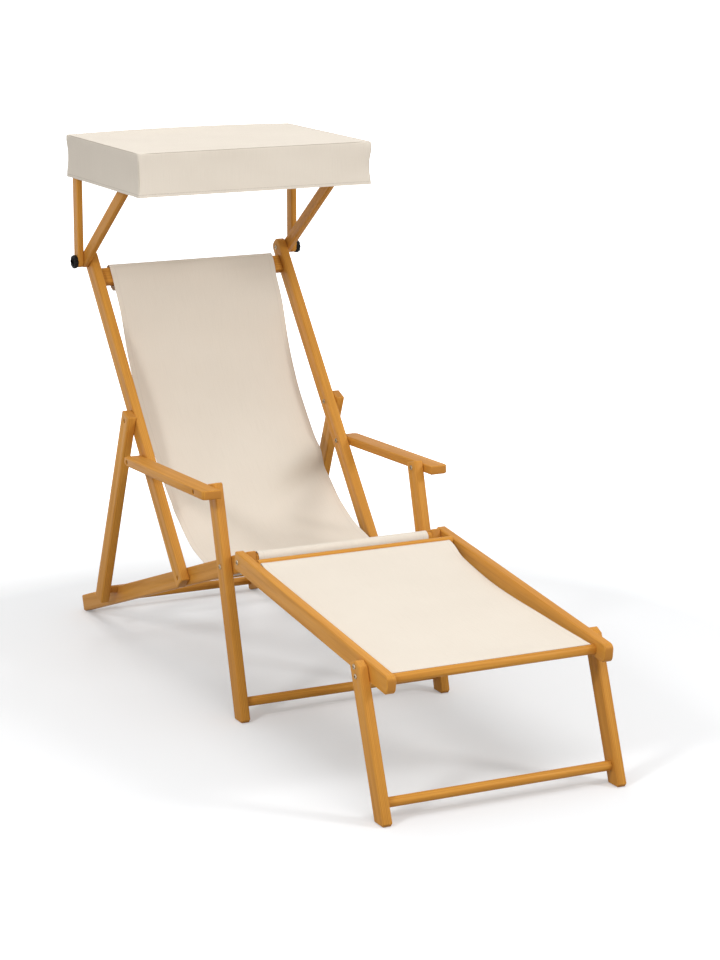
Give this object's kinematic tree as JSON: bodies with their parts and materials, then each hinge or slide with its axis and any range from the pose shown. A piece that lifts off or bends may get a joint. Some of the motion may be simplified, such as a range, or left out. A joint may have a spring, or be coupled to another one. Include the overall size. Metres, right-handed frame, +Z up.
{
  "type": "folding sun lounger with canopy",
  "caption": "Folding timber sun lounger with a hung fabric sling, a legged footrest and a tilting box canopy.",
  "frame": {"origin": "middle of the lounger's footprint, on the floor", "axes": "+Z up, the sitter faces -Y, +X to the right as seen from the front"},
  "size_m": [0.6, 1.7485, 1.195],
  "materials": {
    "timber": "honey-coloured satin oil",
    "canvas": "cream woven canvas",
    "fastener_steel": "zinc-plated",
    "knob_plastic": "black"
  },
  "bodies": {
    "seat_frame": {"seat_rail_left": "timber", "seat_rail_right": "timber", "rear_cross_dowel": "timber", "front_sling_bar": "timber", "sling": "canvas", "back_pivot_bolt_left": "fastener_steel", "back_pivot_bolt_right": "fastener_steel", "leg_pivot_bolt_left": "fastener_steel", "leg_pivot_bolt_right": "fastener_steel", "footrest_pivot_bolt_left": "fastener_steel", "footrest_pivot_bolt_right": "fastener_steel"},
    "back_frame": {"back_rail_left": "timber", "back_rail_right": "timber", "top_cross_rail": "timber", "prop_pivot_bolt_left": "fastener_steel", "prop_pivot_bolt_right": "fastener_steel", "armrest_rear_bolt_left": "fastener_steel", "armrest_rear_bolt_right": "fastener_steel", "canopy_bolt_left": "fastener_steel", "canopy_bolt_right": "fastener_steel"},
    "prop": {"prop_strut_left": "timber", "prop_strut_right": "timber", "prop_dowel": "timber"},
    "armrest_arm_left": {"armrest_left": "timber", "armrest_front_bolt_left": "fastener_steel"},
    "armrest_arm_right": {"armrest_right": "timber", "armrest_front_bolt_right": "fastener_steel"},
    "front_legs": {"front_leg_left": "timber", "front_leg_right": "timber", "front_leg_dowel": "timber", "front_leg_nut_left": "fastener_steel", "front_leg_nut_right": "fastener_steel"},
    "footrest": {"footrest_rail_left": "timber", "footrest_rail_right": "timber", "footrest_front_dowel": "timber", "footrest_rear_dowel": "timber", "footrest_cloth": "canvas", "footrest_leg_left": "timber", "footrest_leg_right": "timber", "footrest_leg_dowel": "timber", "footrest_leg_screw_upper_left": "fastener_steel", "footrest_leg_screw_upper_right": "fastener_steel", "footrest_leg_screw_lower_left": "fastener_steel", "footrest_leg_screw_lower_right": "fastener_steel"},
    "canopy": {"canopy_front_arm_left": "timber", "canopy_front_arm_right": "timber", "canopy_rear_arm_left": "timber", "canopy_rear_arm_right": "timber", "canopy_front_bar": "timber", "canopy_rear_bar": "timber", "canopy_cover": "canvas"},
    "canopy_knob_left": {"knob_left": "knob_plastic"},
    "canopy_knob_right": {"knob_right": "knob_plastic"}
  },
  "joints": [
    {"name": "back_recline", "type": "hinge", "parent": "seat_frame", "child": "back_frame", "pos_m": [0, 0.20386, 0.24418], "axis": [-1, 0, 0], "range_deg": [0, 45], "deforming": ["sling"]},
    {"name": "front_leg_swing", "type": "hinge", "parent": "seat_frame", "child": "front_legs", "pos_m": [0, -0.0408, 0.32795], "axis": [-1, 0, 0], "range_deg": [0, 62.15]},
    {"name": "armrest_swing_left", "type": "hinge", "parent": "back_frame", "child": "armrest_arm_left", "pos_m": [0, 0.39195, 0.47854], "axis": [1, 0, 0], "range_deg": [0, 33.84]},
    {"name": "armrest_swing_right", "type": "hinge", "parent": "back_frame", "child": "armrest_arm_right", "pos_m": [0, 0.39195, 0.47854], "axis": [1, 0, 0], "range_deg": [0, 33.84]},
    {"name": "prop_swing", "type": "hinge", "parent": "back_frame", "child": "prop", "pos_m": [0, 0.45849, 0.56144], "axis": [1, 0, 0], "range_deg": [0, 108]},
    {"name": "footrest_lift", "type": "hinge", "parent": "seat_frame", "child": "footrest", "pos_m": [0, -0.13389, 0.35982], "axis": [-1, 0, 0], "range_deg": [0, 95]},
    {"name": "canopy_tilt", "type": "hinge", "parent": "back_frame", "child": "canopy", "pos_m": [0, 0.72789, 0.8971], "axis": [1, 0, 0], "range_deg": [-60, 40]},
    {"name": "knob_turn_left", "type": "hinge", "parent": "canopy", "child": "canopy_knob_left", "pos_m": [-0.29135, 0.72789, 0.8971], "axis": [-1, 0, 0], "continuous": true},
    {"name": "knob_turn_right", "type": "hinge", "parent": "canopy", "child": "canopy_knob_right", "pos_m": [0.29135, 0.72789, 0.8971], "axis": [1, 0, 0], "continuous": true}
  ],
  "couplings": [
    {"joint": "front_leg_swing", "follows": "back_recline", "ratio": 1.381},
    {"joint": "armrest_swing_left", "follows": "back_recline", "ratio": 0.7519},
    {"joint": "armrest_swing_right", "follows": "back_recline", "ratio": 0.7519},
    {"joint": "prop_swing", "follows": "back_recline", "ratio": 2.4}
  ]
}
